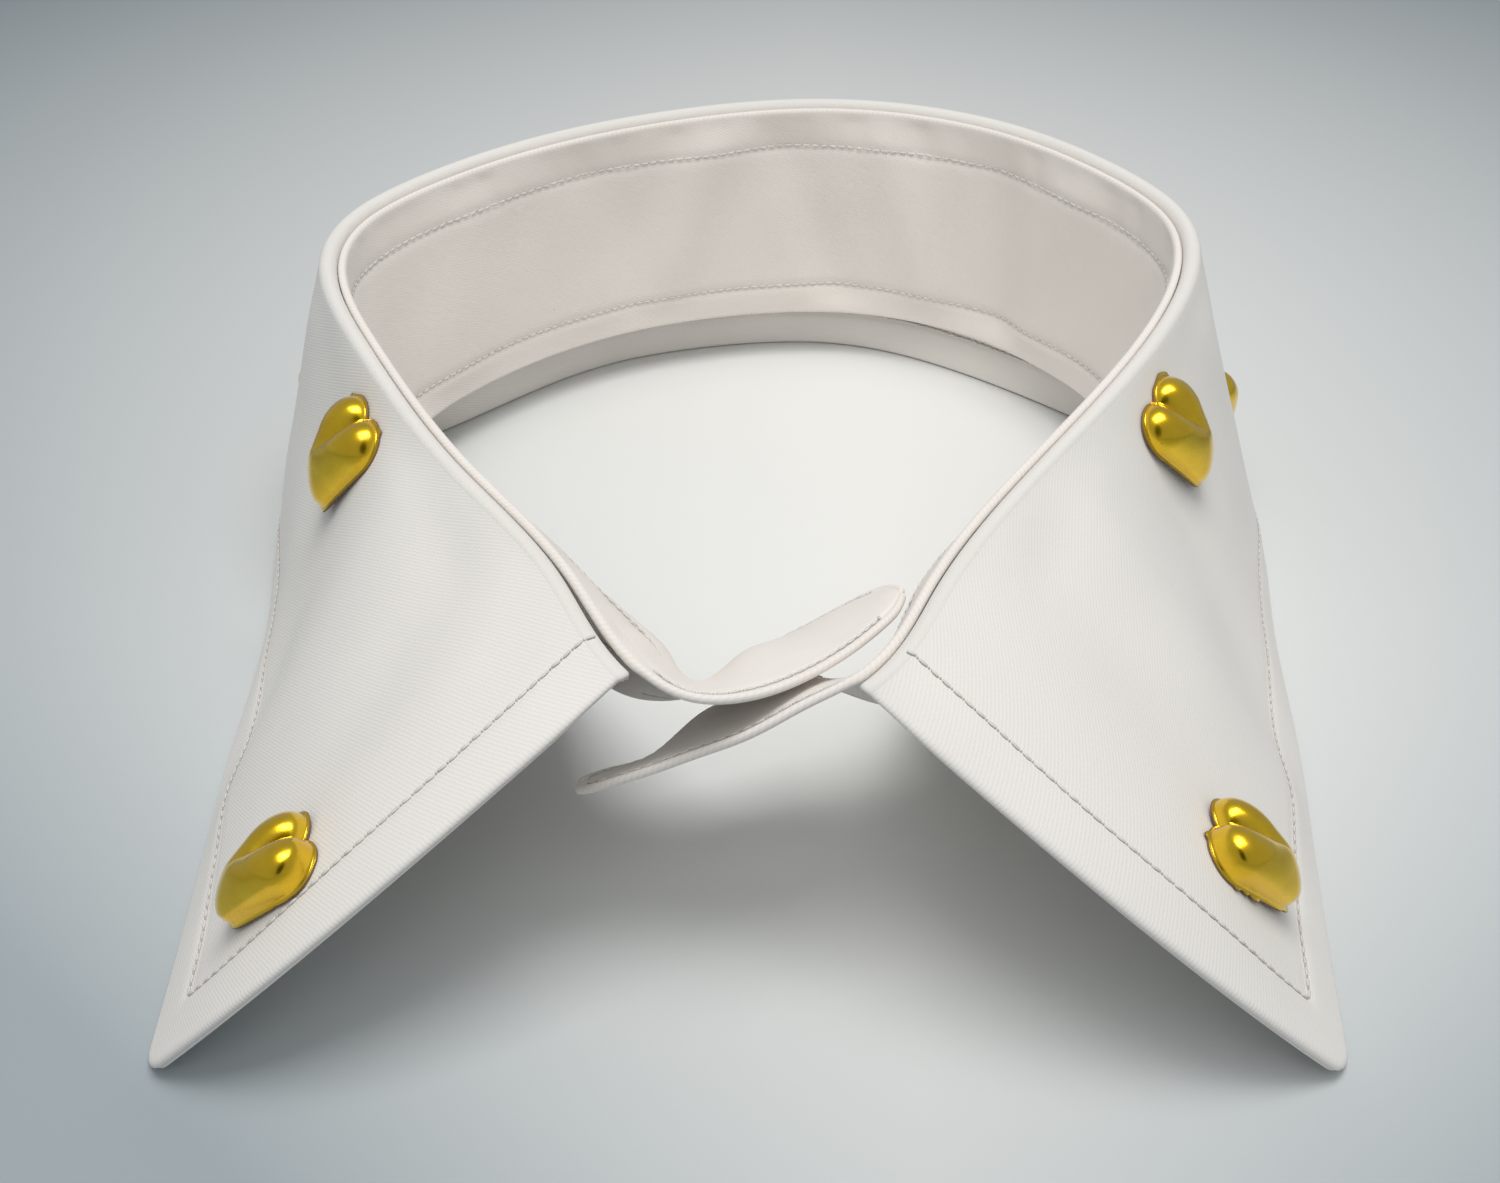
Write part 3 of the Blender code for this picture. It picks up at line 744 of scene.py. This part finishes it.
def stitch_row(points, normals, seed):
    """Return the points and faces of a row of stitches, and those of its needle holes: small discs
    coloured with painted shade.
    """
    dice = np.random.default_rng(seed)
    along = chord_lengths(points)
    count = int(along[-1] / STITCH_PITCH)
    centres = (np.arange(count) + 0.5) * STITCH_PITCH

    def at(places, values):
        return np.stack([np.interp(places, along, values[:, k]) for k in range(3)], axis=1)

    middle = at(centres, points)
    normal = unit(at(centres, normals))
    ahead = unit(at(centres + STITCH_PROBE, points) - at(centres - STITCH_PROBE, points))
    side = unit(np.cross(normal, ahead))
    skew = dice.uniform(-STITCH_SKEW, STITCH_SKEW, (count, 1))
    ahead = unit(ahead + side * skew)
    side = unit(np.cross(normal, ahead))
    turns = np.arange(STITCH_SIDES) * 2 * math.pi / STITCH_SIDES
    rings = []
    for place, size in STITCH_RINGS:
        for turn in turns:
            rings.append(middle + ahead * STITCH_LENGTH * place
                         + side * STITCH_WIDTH / 2 * size * math.cos(turn)
                         + normal * STITCH_RISE / 2 * size * math.sin(turn))
    verts = np.stack(rings, axis=1)
    per = verts.shape[1]
    faces = []
    for k in range(len(STITCH_RINGS) - 1):
        for m in range(STITCH_SIDES):
            a = k * STITCH_SIDES + m
            b = k * STITCH_SIDES + (m + 1) % STITCH_SIDES
            faces.append((a, b, b + STITCH_SIDES, a + STITCH_SIDES))
    first = tuple(range(STITCH_SIDES))[::-1]
    last = tuple(range(per - STITCH_SIDES, per))
    all_faces = []
    for k in range(count):
        all_faces += [tuple(v + k * per for v in f) for f in faces]
        all_faces += [tuple(v + k * per for v in first), tuple(v + k * per for v in last)]
    # Each needle hole is a thin disc between two stitches, coloured as painted shade.
    gap_middle = at(centres[:-1] + STITCH_PITCH / 2, points)
    gap_normal = unit(at(centres[:-1] + STITCH_PITCH / 2, normals))
    gap_next = at(centres[:-1] + STITCH_PITCH / 2 + STITCH_PROBE, points)
    gap_side = unit(np.cross(gap_normal, gap_next - gap_middle))
    gap_ahead = np.cross(gap_side, gap_normal)
    disc = [gap_middle + (gap_side * math.cos(t) + gap_ahead * math.sin(t)) * HOLE_RADIUS
            + gap_normal * HOLE_RISE for t in turns]
    disc += [d - gap_normal * HOLE_DEPTH for d in disc]
    discs = np.stack(disc, axis=1)
    hole_faces = []
    for k in range(len(discs)):
        start = k * 2 * STITCH_SIDES
        hole_faces.append(tuple(range(start, start + STITCH_SIDES)))
        hole_faces.append(tuple(range(start + STITCH_SIDES, start + 2 * STITCH_SIDES))[::-1])
        for m in range(STITCH_SIDES):
            a = start + m
            b = start + (m + 1) % STITCH_SIDES
            hole_faces.append((b, a, a + STITCH_SIDES, b + STITCH_SIDES))
    return verts.reshape(-1, 3), all_faces, discs.reshape(-1, 3), hole_faces


def make_stitches(name, rows):
    """Join rows of stitches into one piece. Each row is its points and normals."""
    points, faces, slots = [], [], []
    base = 0
    for number, (line, normals) in enumerate(rows):
        verts, row_faces, holes, hole_faces = stitch_row(line, normals, FIRST_SEED + number)
        points.append(verts)
        faces += [tuple(v + base for v in f) for f in row_faces]
        slots += [0] * len(row_faces)
        base += len(verts)
        points.append(holes)
        faces += [tuple(v + base for v in f) for f in hole_faces]
        slots += [1] * len(hole_faces)
        base += len(holes)
    return make_mesh(name, to_metres(np.concatenate(points)), faces,
                     [thread_white, needle_hole], slots=slots)


def level_crossing(values, places, level):
    """Return the first place where each row of values reaches a level."""
    found = []
    for row in values:
        k = max(int(np.argmax(row >= level)), 1)
        share = (level - row[k - 1]) / (row[k] - row[k - 1])
        found.append(places[k - 1] + share * (places[k] - places[k - 1]))
    return np.array(found)


PATH_STEPS = 120
CROSS_STEPS = 90
HEM_STEPS = 500
FRONT_SEARCH = 16.0
HEM_SEARCH = 14.0
HEM_START = 4.0


def topstitch_path():
    """Return the leaf's topstitch as places along and down, from corner to corner."""
    share = np.linspace(0.0, 1.0, PATH_STEPS)
    near = np.linspace(0.0, FRONT_SEARCH, CROSS_STEPS)
    paths = []
    for line, front, side in ((FRONT_RIGHT, 0.0, 1), (FRONT_LEFT, LEAF_END, -1)):
        grid = leaf_point(front + side * np.repeat(near[None, :], PATH_STEPS, axis=0),
                          1 + np.repeat(share[:, None], CROSS_STEPS, axis=1))
        along = front + side * level_crossing(distance_to(grid, line), near, TOPSTITCH_IN)
        paths.append(along)
    hem_along = np.linspace(HEM_START, LEAF_END - HEM_START, HEM_STEPS)
    up = np.linspace(0.0, HEM_SEARCH, CROSS_STEPS)
    length = fall_length(hem_along)
    grid = leaf_point(np.repeat(hem_along[:, None], CROSS_STEPS, axis=1), 2 - up[None, :] / length)
    hem_share = 1 - level_crossing(distance_to(grid, HEM_LINE), up, TOPSTITCH_IN) / length[:, 0]
    places = []
    stop_right = np.interp(paths[0], hem_along, hem_share)
    keep = share < stop_right
    places += list(zip(paths[0][keep], share[keep]))
    start = paths[0][keep][-1]
    stop_left = np.interp(paths[1], hem_along, hem_share)
    keep_left = share < stop_left
    end = paths[1][keep_left][-1]
    middle = (hem_along > start) & (hem_along < end)
    places += list(zip(hem_along[middle], hem_share[middle]))
    places += list(zip(paths[1][keep_left], share[keep_left]))[::-1]
    return np.array(places)


STITCH_RAISE = 0.14
ROLL_STITCH_START = 0.35


BAND_STITCH_RAISE = STITCH_RAISE - 0.2
BAND_ROW_START = 1.5
BAND_ROW_STEPS = 700
UPPER_TAB_ROW_START = -33.5
LOWER_TAB_ROW_STOP = 3.5


def leaf_rows():
    places = topstitch_path()
    over_roll = np.linspace(ROLL_STITCH_START, 1.0, 8)[:-1]
    along = np.concatenate([0 * over_roll + places[0, 0], places[:, 0], 0 * over_roll + places[-1, 0]])
    run = np.concatenate([over_roll, 1 + places[:, 1], over_roll[::-1]])
    base = leaf_point(along, run)
    normals = leaf_normals(along, run)
    length = fall_length(along)[:, 0]
    lift = crease_height(base, LEAF_CREASES, leaf_point, 1.0)
    lift += waviness(along, (run - 1) * length, LEAF_WAVES)
    on_fall = smooth_step(run, 1.0, ROLL_FADE)
    lift *= on_fall * smooth_step(TOPSTITCH_IN, 0.0, CREASE_FADE)
    half = (0.5 * MARGIN_PUFF - GROOVE_DEPTH) * on_fall / 2
    face = base + normals * (lift + half + STITCH_RAISE)[:, None]
    back = base + normals * (lift - LEAF_WALL - half - STITCH_RAISE)[:, None]
    return [(face, normals), (back, -normals)]


def band_rows():
    rows = []
    around = np.linspace(BAND_ROW_START, LEAF_END - BAND_ROW_START, BAND_ROW_STEPS)
    tall = band_height(around)
    for share in (UPPER_STITCH_IN / tall, 1 - LOWER_STITCH_IN / tall):
        base = band_point(around, share)
        normals = band_normals(around, share)
        from_rim = share * tall
        height = crease_height(base, BAND_CREASES, band_point, 0.0)
        height += waviness(around, from_rim, BAND_WAVES)
        height *= smooth_step(from_rim, 0, RIM_FADE) * smooth_step(tall - from_rim, 0, FOOT_FADE)
        face = base - normals * (height + BAND_STITCH_RAISE)[:, None]
        back = base + normals * (BAND_WALL - OUTSIDE_SHARE * height + BAND_STITCH_RAISE)[:, None]
        rows += [(face, -normals), (back, normals)]
    for start, end in ((UPPER_TAB_ROW_START, 0.0), (LEAF_END, BAND_ALONG[-1] - LOWER_TAB_ROW_STOP)):
        places = np.linspace(start, end, PATH_STEPS)
        tall = band_height(places)
        rim_side = TAB_STITCH_IN / tall
        tip = places[::-1] if start == LEAF_END else places
        loop_along = np.concatenate([tip[::-1], tip])
        loop_share = np.concatenate([(1 - np.interp(tip[::-1], places, rim_side)),
                                     np.interp(tip, places, rim_side)])
        base = band_point(loop_along, loop_share)
        normals = band_normals(loop_along, loop_share)
        rows.append((base - normals * BAND_STITCH_RAISE, -normals))
        rows.append((base + normals * (BAND_WALL + BAND_STITCH_RAISE), normals))
    return rows


def leaf_patch(along, share):
    """Return the leaf's outward direction at places, and its two ways along the cloth."""
    run = 1 + share
    ahead = leaf_point(along + ALONG_PROBE, run) - leaf_point(along - ALONG_PROBE, run)
    fall = leaf_point(along, run + RUN_PROBE) - leaf_point(along, run - RUN_PROBE)
    return unit(np.cross(ahead, fall)), ahead / (2 * ALONG_PROBE), fall / (2 * RUN_PROBE)


def on_leaf(stud, across, below, height):
    """Return points over the leaf, measured on the cloth from the stud's centre."""
    centre = np.array([stud.along])
    _, ahead, fall = leaf_patch(centre, np.array([stud.down]))
    ahead, fall = ahead[0], fall[0]
    turn = math.radians(stud.turn)
    down = unit(fall)
    level = unit(ahead - ahead.dot(down) * down)
    offset = ((across * math.cos(turn) + below * math.sin(turn))[:, None] * level
              + (below * math.cos(turn) - across * math.sin(turn))[:, None] * down)
    metric = np.array([[ahead.dot(ahead), ahead.dot(fall)], [ahead.dot(fall), fall.dot(fall)]])
    move = np.linalg.solve(metric, np.stack([offset @ ahead, offset @ fall]))
    along, share = stud.along + move[0], stud.down + move[1]
    return leaf_point(along, 1 + share) + leaf_patch(along, share)[0] * height[:, None]


LOBE_CENTRE = (3.0, -3.5)
LOBE_RADIUS = 3.9
TIP_CENTRE = (0.0, 5.2)
TIP_RADIUS = 3.4
HEART_DOME = 4.8
TIP_DROP = 0.7
CLEFT_SHARE = 0.62
CLEFT_WIDTH = 1.7
CLEFT_START = -6.0
CLEFT_END = 2.5
HEART_MIDDLE = (0.0, -1.2)
HEART_SPOKES = 120
HEART_RINGS = 26
HEART_FOOT = -0.35
FLANGE_WIDTH = 0.36
FLANGE_RISE = 0.42
FLANGE_THICK = 0.26
FOOT_INSET = 0.6
FLARE_SHARE = 0.6
EDGE_ROUND = 0.04
CROWN_START = 0.03
FARTHEST_EDGE = 14.0
EDGE_HALVINGS = 30
BURR_COUNT = 9
BURR_SPREAD = (0.05, 0.16)
BURR_REACH = (-0.15, 0.8)
BURR_SHARE = (0.6, 1.0)
FLANGE_LIMITS = (0.12, 1.0)
LEAN_RINGS = (-1, 6)
FIRST_HEART_SEED = 70


def lobe_margin(x, y, side):
    """Return how far inside a tapered lobe places are, below zero outside it."""
    start = np.array([side * LOBE_CENTRE[0], LOBE_CENTRE[1]])
    axis = np.array(TIP_CENTRE) - start
    place = ((x - start[0]) * axis[0] + (y - start[1]) * axis[1]) / axis.dot(axis)
    place = np.clip(place, 0, 1)
    width = LOBE_RADIUS + (TIP_RADIUS - LOBE_RADIUS) * place ** 1.15
    return width - np.hypot(x - start[0] - axis[0] * place, y - start[1] - axis[1] * place)


def heart_height(x, y, reach):
    """Return the puffed heart's height; reach is the share of the way out to its outline."""
    top = HEART_DOME - TIP_DROP * smooth_step(y, 0.0, TIP_CENTRE[1] + TIP_RADIUS)
    fade = 1 - smooth_step(y, CLEFT_START, CLEFT_END)
    cleft = CLEFT_SHARE * np.exp(-np.abs(x) / CLEFT_WIDTH) * fade
    return top * (1 - cleft) * math.sqrt(max(1 - reach ** 2, 0.0))


def heart_radius(angles):
    """Return how far the heart reaches from its middle in each direction."""
    low, high = np.zeros_like(angles), np.full_like(angles, FARTHEST_EDGE)
    for _ in range(EDGE_HALVINGS):
        middle = (low + high) / 2
        x = HEART_MIDDLE[0] + middle * np.sin(angles)
        y = HEART_MIDDLE[1] + middle * np.cos(angles)
        inside = np.maximum(lobe_margin(x, y, 1), lobe_margin(x, y, -1)) > 0
        low = np.where(inside, middle, low)
        high = np.where(inside, high, middle)
    return low


def make_heart(stud, seed):
    """Make one pressed heart: two puffed lobes that meet in a cleft, on a ragged flange."""
    dice = np.random.default_rng(seed)
    angles = np.arange(HEART_SPOKES) * 2 * math.pi / HEART_SPOKES
    radius = heart_radius(angles)
    tip = math.tan(math.radians(stud.lean))
    half_width = LOBE_CENTRE[0] + LOBE_RADIUS
    ragged = np.full(HEART_SPOKES, FLANGE_WIDTH)
    for _ in range(BURR_COUNT):
        centre = dice.uniform(0, 2 * math.pi)
        spread = dice.uniform(*BURR_SPREAD)
        gap = np.abs((angles - centre + math.pi) % (2 * math.pi) - math.pi)
        ragged += dice.uniform(*BURR_REACH) * (gap < spread) * dice.uniform(*BURR_SHARE)
    ragged = np.clip((ragged + np.roll(ragged, 1)) / 2, *FLANGE_LIMITS)
    rings = []
    tones = []

    def ring(reach, height, tone, leaning=0.0):
        x = HEART_MIDDLE[0] + reach * np.sin(angles)
        y = HEART_MIDDLE[1] + reach * np.cos(angles)
        if callable(height):
            height = height(x, y)
        lean = (x * tip + half_width * abs(tip)) * leaning
        rings.append(on_leaf(stud, x * stud.size, y * stud.size, (height + lean) * stud.size))
        tones.append(tone)

    # Rings of tone 1 take the dark edge colour: the brownish cut edge and painted shade under the
    # flange.
    ring(radius - FOOT_INSET, HEART_FOOT, 1)
    ring(radius + FLARE_SHARE * ragged, 0.0, 1)
    ring(radius + ragged, FLANGE_RISE - FLANGE_THICK, 1)
    ring(radius + ragged + EDGE_ROUND, FLANGE_RISE - FLANGE_THICK / 2, 1)
    ring(radius + ragged - EDGE_ROUND / 2, FLANGE_RISE, 0)
    ring(radius + 2 * EDGE_ROUND, FLANGE_RISE + CROWN_START, 0)
    for k in range(HEART_RINGS):
        scale = math.cos(k / HEART_RINGS * math.pi / 2) ** 0.9
        ring(radius * scale, lambda x, y: FLANGE_RISE + heart_height(x, y, scale), 0,
             smooth_step(k, *LEAN_RINGS))
    points = list(rings)
    middle = [np.array([v]) for v in HEART_MIDDLE]
    top = heart_height(*middle, 0.0) + FLANGE_RISE + half_width * abs(tip)
    place = [v * stud.size for v in middle]
    points.append(on_leaf(stud, *place, top * stud.size))
    points.append(on_leaf(stud, *place, np.array([HEART_FOOT])))
    faces, slots = [], []
    count = HEART_SPOKES
    for k in range(len(rings) - 1):
        for m in range(count):
            a, b = k * count + m, k * count + (m + 1) % count
            faces.append((a, b, b + count, a + count))
            slots.append(tones[k])
    last = (len(rings) - 1) * count
    crown = len(rings) * count
    for m in range(count):
        faces.append((last + m, last + (m + 1) % count, crown))
        faces.append(((m + 1) % count, m, crown + 1))
        slots += [0, 1]
    piece = make_mesh("heart_" + stud.name[5:], to_metres(np.concatenate(points)), faces,
                      [gold, tarnish_and_shade], slots=slots)
    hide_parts(stud.name)
    face_outward(piece)


leaf_cloth = make_leaf_shell()
band_cloth = make_band_shell()
leaf_topstitch = make_stitches("leaf_topstitch", leaf_rows())
band_stitching = make_stitches("band_stitching", band_rows())
for number, stud in enumerate(STUDS):
    make_heart(stud, FIRST_HEART_SEED + number)

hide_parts("leaf")
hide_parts("band")

CAMERA_BEFORE = 198.0
CAMERA_ABOVE = 140.0
CAMERA_PITCH = 35.0
CAMERA_LENS = 38.4
SENSOR_WIDTH = 36.0

camera_data = bpy.data.cameras.new("camera")
camera_data.lens = CAMERA_LENS
camera_data.sensor_width = SENSOR_WIDTH
camera_data.clip_start = 0.01
camera = bpy.data.objects.new("camera", camera_data)
camera.location = to_metres(np.array([0.0, -CAMERA_BEFORE, CAMERA_ABOVE]))
camera.rotation_euler = (math.radians(90 - CAMERA_PITCH), 0.0, 0.0)
bpy.context.scene.collection.objects.link(camera)
bpy.context.scene.camera = camera


# The floor's colour carries painted light: a bright painted pool under the collar that falls off in a
# fan to the sides, the front and the back.
PAINTED_POOL_BRIGHT = 0.84
PAINTED_FALLOFF_DIM = 0.36
PAINTED_POOL_X = 0.015
FAN_DEPTH = 0.26
NARROWEST_FAN = 0.2
SIDE_FALL = 4.7
SIDE_POWER = 1.3
FRONT_FALL = 20.0
BACK_FALL = 1.6


def make_floor():
    """Lay a pale floor with a painted pool of light: its colour is brightest under the collar and
    painted darker softly round it.
    """
    bpy.ops.mesh.primitive_plane_add(size=6.0, location=(0.0, 0.0, 0.0))
    floor = bpy.context.active_object
    floor.name = "floor"
    n = Nodes("pale_floor")
    place = n.add("ShaderNodeTexCoord")
    split = n.add("ShaderNodeSeparateXYZ")
    n.link(place.outputs["Object"], split.inputs["Vector"])
    x, y = split.outputs["X"], split.outputs["Y"]
    fan = n.maths("MAXIMUM", n.maths("ADD", n.maths("DIVIDE", y, FAN_DEPTH), 1.0), NARROWEST_FAN)
    aside = n.maths("DIVIDE", n.maths("ABSOLUTE", n.maths("SUBTRACT", x, PAINTED_POOL_X), 0.0), fan)
    side_part = n.maths("MULTIPLY", n.maths("POWER", aside, SIDE_POWER), SIDE_FALL)
    front = n.maths("MINIMUM", y, 0.0)
    back = n.maths("MAXIMUM", y, 0.0)
    front_part = n.maths("MULTIPLY", n.maths("MULTIPLY", front, front), FRONT_FALL)
    back_part = n.maths("MULTIPLY", n.maths("MULTIPLY", back, back), BACK_FALL)
    fall = n.maths("ADD", side_part, n.maths("ADD", front_part, back_part))
    # Painted light: the floor's colour runs from a dim blue-grey to pale along this painted falloff.
    painted_light = n.maths("MAXIMUM", n.maths("SUBTRACT", PAINTED_POOL_BRIGHT, fall), PAINTED_FALLOFF_DIM)
    n.link(n.ramp(painted_light, PAINTED_FALLOFF_DIM, PAINTED_POOL_BRIGHT, (0.35, 0.40, 0.43), (0.845, 0.845, 0.825)),
           n.shader.inputs["Base Color"])
    n.shader.inputs["Roughness"].default_value = 0.75
    n.shader.inputs["Specular IOR Level"].default_value = 0.2
    floor.data.materials.append(n.material)


def add_area(name, place, aim, size, power, color):
    data = bpy.data.lights.new(name, "AREA")
    data.shape = "RECTANGLE"
    data.size, data.size_y = size
    data.energy = power
    data.color = color
    lamp = bpy.data.objects.new(name, data)
    lamp.location = place
    toward = np.array(aim) - np.array(place)
    lamp.rotation_euler = (math.atan2(math.hypot(toward[0], toward[1]), -toward[2]), 0.0,
                           math.atan2(-toward[0], toward[1]))
    bpy.context.scene.collection.objects.link(lamp)
    return lamp


make_floor()
add_area("key_light", (0.02, -0.04, 0.56), (0.0, 0.0, 0.0), (0.38, 0.26), 1.86, (1.0, 0.99, 0.97))
front_fill = add_area("front_fill", (0.05, -0.38, 0.50), (0.0, 0.05, 0.02), (0.4, 0.3), 0.52,
                      (1.0, 0.98, 0.95))
front_fill.visible_glossy = False


def make_dark_card():
    """Stand a black card behind the camera, for the small dark reflection in the hearts."""
    bpy.ops.mesh.primitive_circle_add(vertices=48, radius=0.5, fill_type="NGON")
    card = bpy.context.active_object
    card.name = "dark_card"
    for vertex in card.data.vertices:
        vertex.co = (vertex.co.x * 0.13, vertex.co.y * 0.24, 0.0)
    card.location = (-0.003, -0.225, 0.160)
    card.rotation_euler = (math.radians(90 - CAMERA_PITCH), 0.0, 0.0)
    card.data.materials.append(make_plain("black_card", (0.004, 0.004, 0.005), 0.9))
    card.visible_camera = False
    card.visible_diffuse = False
    card.visible_shadow = False


make_dark_card()

world = bpy.data.worlds.new("studio")
world.use_nodes = True
world.node_tree.nodes["Background"].inputs["Color"].default_value = (0.93, 0.97, 1.0, 1.0)
world.node_tree.nodes["Background"].inputs["Strength"].default_value = 0.38
bpy.context.scene.world = world
bpy.context.scene.view_settings.view_transform = "Standard"
